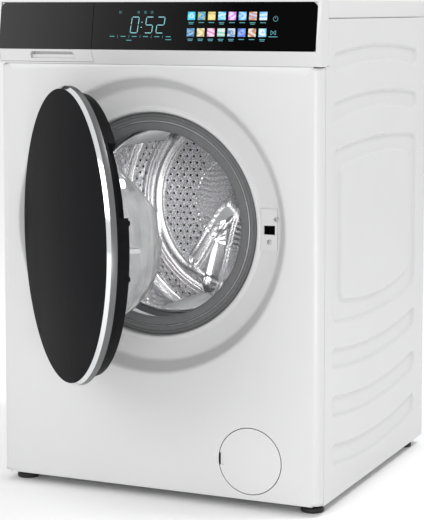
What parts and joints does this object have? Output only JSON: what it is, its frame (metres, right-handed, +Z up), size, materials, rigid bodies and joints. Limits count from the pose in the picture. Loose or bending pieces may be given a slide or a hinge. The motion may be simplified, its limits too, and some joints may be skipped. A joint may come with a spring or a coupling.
{
  "type": "front load washing machine",
  "caption": "Front load washing machine with an open round glass door, touch console, detergent drawer, suspended tub, belt driven drum and drain filter.",
  "frame": {"origin": "on the floor under the centre of the cabinet", "axes": "+X to the right seen from the front, +Y to the rear, +Z up"},
  "size_m": [0.6, 0.9125, 0.85],
  "materials": {
    "white_steel": "satin",
    "grey_steel": "satin",
    "white_plastic": "satin",
    "worktop_white": "satin",
    "black_glass": "gloss",
    "clear_glass": "gloss",
    "chrome": "polished",
    "black_plastic": "satin",
    "grey_rubber": "matte",
    "black_rubber": "matte",
    "stainless": "satin",
    "steel": "satin",
    "light_alloy": "satin",
    "concrete": "matte",
    "tub_plastic": "matte",
    "tray_plastic": "satin",
    "lifter_plastic": "satin",
    "circuit_board": "satin",
    "painted_motor": "satin"
  },
  "bodies": {
    "cabinet": {"front_panel": "white_steel", "side_panel_left": "white_steel", "side_panel_right": "white_steel", "rear_panel": "grey_steel", "rear_cover": "tub_plastic", "top_panel": "worktop_white", "base_tray": "grey_steel", "console_fascia": "white_plastic", "control_glass": "black_glass", "display_board": "circuit_board", "dispenser_housing": "tray_plastic", "inlet_valve": "tub_plastic", "fill_hose": "black_rubber", "dispenser_hose": "black_rubber", "door_lock": "black_plastic", "lock_cover": "white_plastic", "hinge_bracket": "steel", "gasket": "grey_rubber", "gasket_clamp": "steel", "drain_pump": "tub_plastic", "sump_hose": "black_rubber", "drain_outlet": "tub_plastic", "mains_gland": "black_plastic", "fasteners": "steel", "damper_cylinders": "tub_plastic", "suspension_springs": "steel"},
    "tub": {"tub_front": "tub_plastic", "tub_rear": "tub_plastic", "front_weight": "concrete", "top_weight": "concrete", "heater": "steel", "drum_bearings": "steel", "shaft_seal": "black_rubber", "motor_housing": "painted_motor", "drive_belt": "black_rubber", "damper_rods": "steel"},
    "drum": {"drum_shell": "stainless", "drum_rear": "stainless", "lifters": "lifter_plastic", "drum_spider": "light_alloy", "drum_shaft": "steel", "drum_pulley": "light_alloy"},
    "motor_rotor": {"motor_rotor": "steel"},
    "door": {"door_glass": "black_glass", "door_chrome_ring": "chrome", "door_inner_ring": "black_plastic", "door_bowl": "clear_glass", "door_knuckle": "steel"},
    "latch": {"latch_hook": "steel"},
    "drawer": {"drawer_front": "white_plastic", "drawer_glass": "black_glass", "drawer_tray": "tray_plastic"},
    "drawer_flap": {"drawer_flap": "tray_plastic"},
    "filter_cover": {"filter_cover": "white_plastic"},
    "filter_cap": {"filter_cap": "tub_plastic"},
    "impeller": {"pump_impeller": "tub_plastic"},
    "foot_front_left": {"foot_front_left": "black_rubber"},
    "foot_front_right": {"foot_front_right": "black_rubber"},
    "foot_rear_left": {"foot_rear_left": "black_rubber"},
    "foot_rear_right": {"foot_rear_right": "black_rubber"}
  },
  "joints": [
    {"name": "door_hinge", "type": "hinge", "parent": "cabinet", "child": "door", "pos_m": [-0.232, -0.289, 0.469], "axis": [0, 0, -1], "range_deg": [-45, 70]},
    {"name": "latch_pivot", "type": "hinge", "parent": "door", "child": "latch", "pos_m": [0.08832, -0.57962, 0.469], "axis": [0, 0, 1], "range_deg": [0, 6], "stiffness_Nm_per_rad": 0.4},
    {"name": "tub_travel", "type": "slide", "parent": "cabinet", "child": "tub", "axis": [0, 0, 1], "range_m": [-0.015, 0.01], "stiffness_N_per_m": 20000, "springref_m": 0.0185, "deforming": ["suspension_springs", "gasket", "dispenser_hose", "sump_hose"]},
    {"name": "drum_spin", "type": "hinge", "parent": "tub", "child": "drum", "pos_m": [-0.015, 0.02, 0.469], "axis": [0, 1, 0], "continuous": true},
    {"name": "motor_spin", "type": "hinge", "parent": "tub", "child": "motor_rotor", "pos_m": [0.075, 0.065, 0.165], "axis": [0, 1, 0], "continuous": true},
    {"name": "drawer_slide", "type": "slide", "parent": "cabinet", "child": "drawer", "axis": [0, -1, 0], "range_m": [0, 0.24]},
    {"name": "flap_hinge", "type": "hinge", "parent": "drawer", "child": "drawer_flap", "pos_m": [-0.20425, -0.13, 0.8039], "axis": [1, 0, 0], "range_deg": [0, 90]},
    {"name": "filter_cover_hinge", "type": "hinge", "parent": "cabinet", "child": "filter_cover", "pos_m": [0.2416, -0.2735, 0.0825], "axis": [0, 0, 1], "range_deg": [0, 100]},
    {"name": "filter_cap_turn", "type": "hinge", "parent": "cabinet", "child": "filter_cap", "pos_m": [0.175, -0.24, 0.0785], "axis": [0, 1, 0], "range_deg": [0, 270]},
    {"name": "impeller_spin", "type": "hinge", "parent": "cabinet", "child": "impeller", "pos_m": [0.175, -0.14, 0.0785], "axis": [0, 1, 0], "continuous": true},
    {"name": "foot_front_left_turn", "type": "hinge", "parent": "cabinet", "child": "foot_front_left", "pos_m": [-0.272, -0.24, 0.02], "axis": [0, 0, 1], "continuous": true},
    {"name": "foot_front_right_turn", "type": "hinge", "parent": "cabinet", "child": "foot_front_right", "pos_m": [0.272, -0.24, 0.02], "axis": [0, 0, 1], "continuous": true},
    {"name": "foot_rear_left_turn", "type": "hinge", "parent": "cabinet", "child": "foot_rear_left", "pos_m": [-0.272, 0.238, 0.02], "axis": [0, 0, 1], "continuous": true},
    {"name": "foot_rear_right_turn", "type": "hinge", "parent": "cabinet", "child": "foot_rear_right", "pos_m": [0.272, 0.238, 0.02], "axis": [0, 0, 1], "continuous": true}
  ],
  "couplings": [
    {"joint": "motor_spin", "follows": "drum_spin", "ratio": 11.169}
  ]
}
